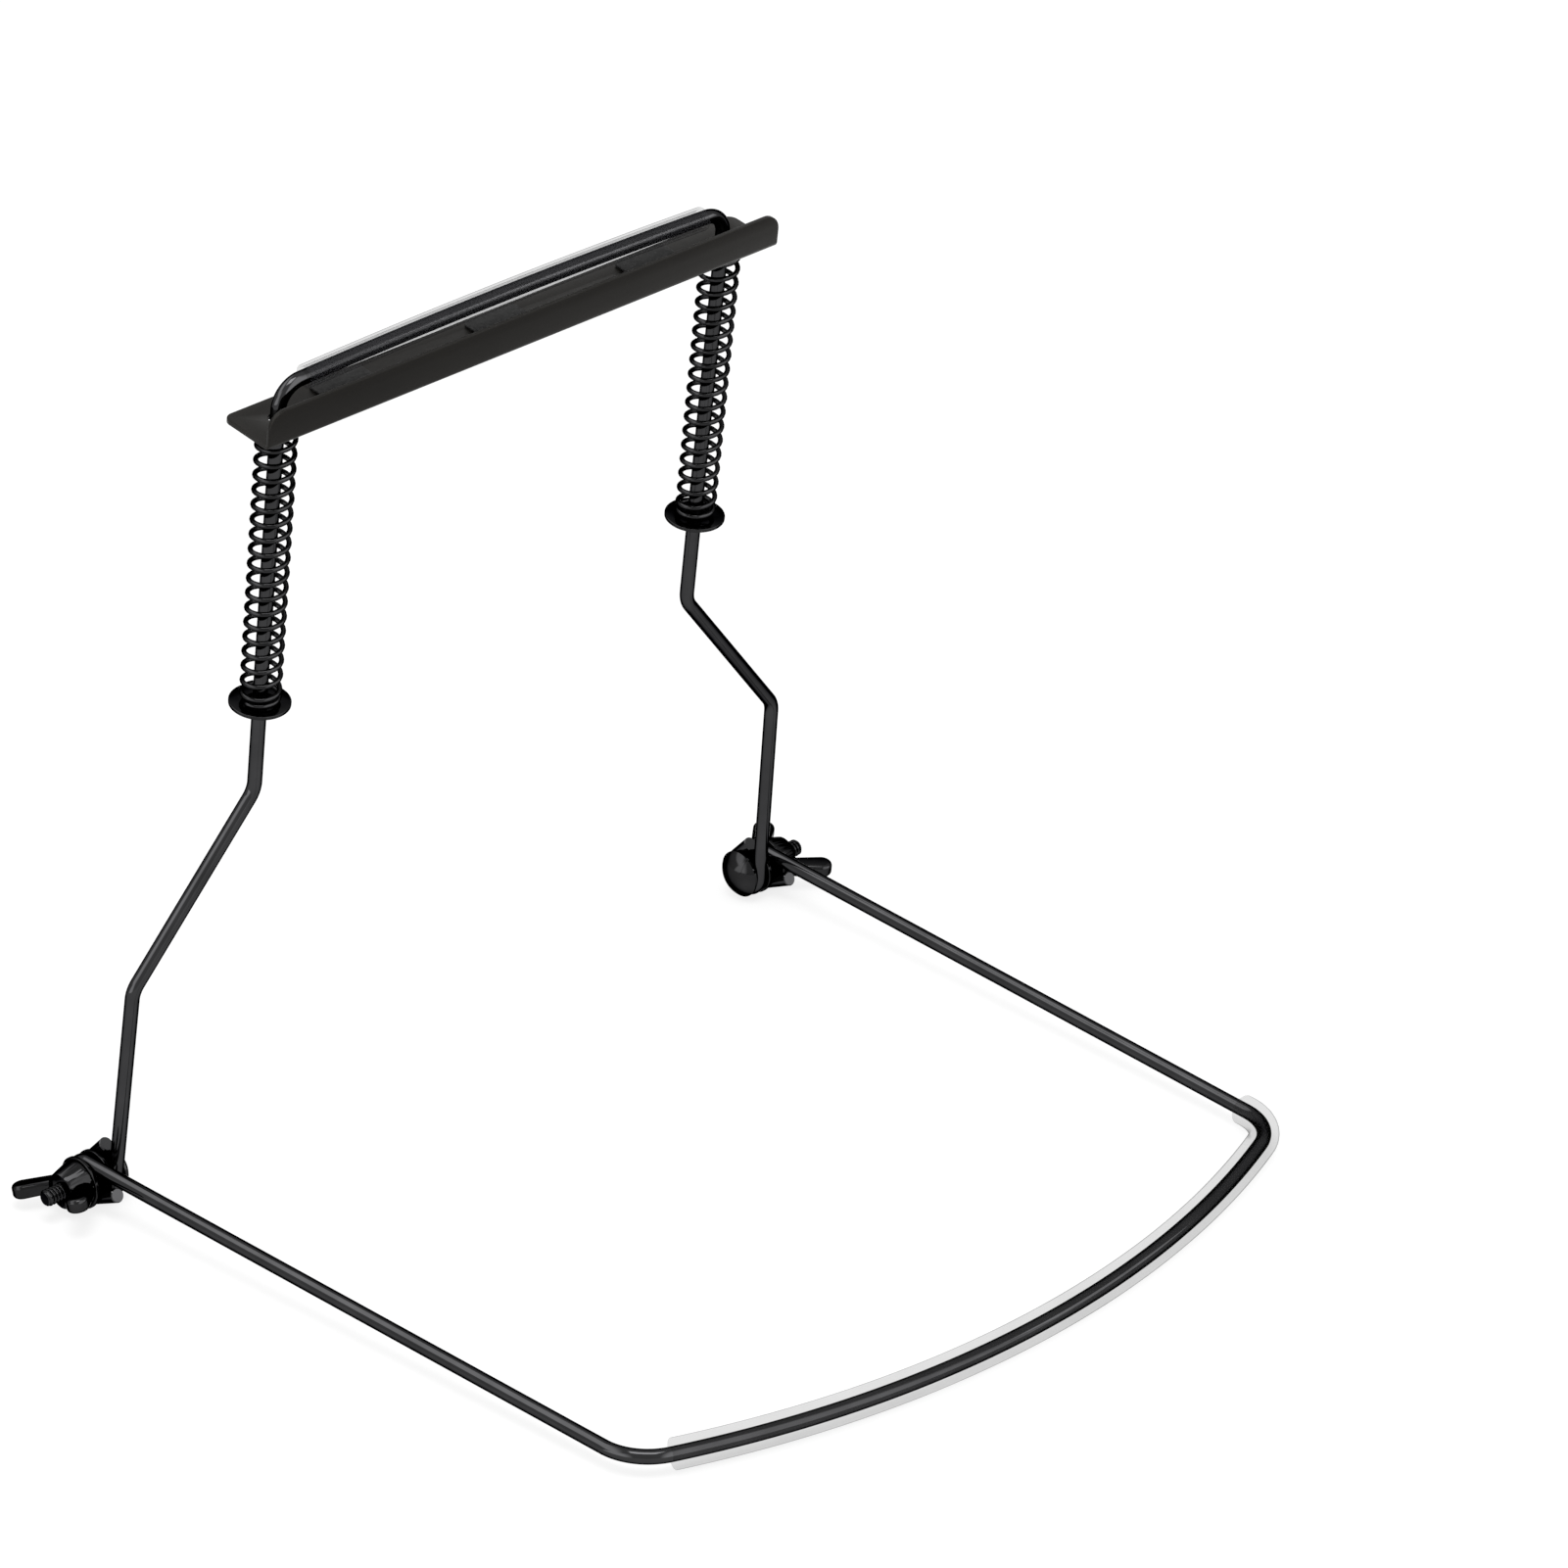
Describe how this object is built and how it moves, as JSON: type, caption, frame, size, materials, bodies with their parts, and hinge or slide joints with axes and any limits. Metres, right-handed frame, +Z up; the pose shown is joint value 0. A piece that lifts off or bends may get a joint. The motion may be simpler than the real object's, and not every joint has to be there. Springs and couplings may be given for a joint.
{
  "type": "harmonica holder",
  "caption": "Neck-worn harmonica holder: bent rod yoke, folding rod frame, and a rail sprung up the legs towards a sleeved bar.",
  "frame": {"origin": "bottom centre of the whole holder's box, on the surface that its outer washers and neck sleeve rest on", "axes": "+Z up, +X along the pivots' axis to the wearer's side, -Y towards the neck, +Y towards the harmonica side"},
  "size_m": [0.2784, 0.2514, 0.2414],
  "materials": {
    "gloss_black_steel": "glossy black coating",
    "satin_black_sheet": "satin black coating",
    "clear_vinyl": "clear flexible tube",
    "black_grip": "smooth black pad"
  },
  "bodies": {
    "yoke": {"neck_yoke": "gloss_black_steel", "neck_sleeve": "clear_vinyl", "left_outer_washer": "gloss_black_steel", "right_outer_washer": "gloss_black_steel"},
    "front": {"front_frame": "gloss_black_steel", "bar_sleeve": "clear_vinyl", "left_spring": "gloss_black_steel", "right_spring": "gloss_black_steel", "left_spring_seat": "gloss_black_steel", "right_spring_seat": "gloss_black_steel", "left_pivot_bolt": "gloss_black_steel", "right_pivot_bolt": "gloss_black_steel", "left_inner_washer": "gloss_black_steel", "right_inner_washer": "gloss_black_steel"},
    "rail": {"harmonica_rail": "satin_black_sheet", "left_grip_pad": "black_grip", "centre_grip_pad": "black_grip", "right_grip_pad": "black_grip"},
    "left_nut": {"left_wing_nut": "gloss_black_steel"},
    "right_nut": {"right_wing_nut": "gloss_black_steel"}
  },
  "joints": [
    {"name": "frame_tilt", "type": "hinge", "parent": "yoke", "child": "front", "pos_m": [0, 0.11075, 0.0074], "axis": [1, 0, 0], "range_deg": [-100, 75]},
    {"name": "rail_slide", "type": "slide", "parent": "front", "child": "rail", "axis": [0, -0.1711, 0.9852], "range_m": [-0.045, 0], "stiffness_N_per_m": 4300, "springref_m": 0.0001, "deforming": ["left_spring", "right_spring"]},
    {"name": "left_nut_turn", "type": "hinge", "parent": "front", "child": "left_nut", "pos_m": [-0.13, 0.11075, 0.0074], "axis": [1, 0, 0], "continuous": true},
    {"name": "right_nut_turn", "type": "hinge", "parent": "front", "child": "right_nut", "pos_m": [0.13, 0.11075, 0.0074], "axis": [1, 0, 0], "continuous": true}
  ]
}
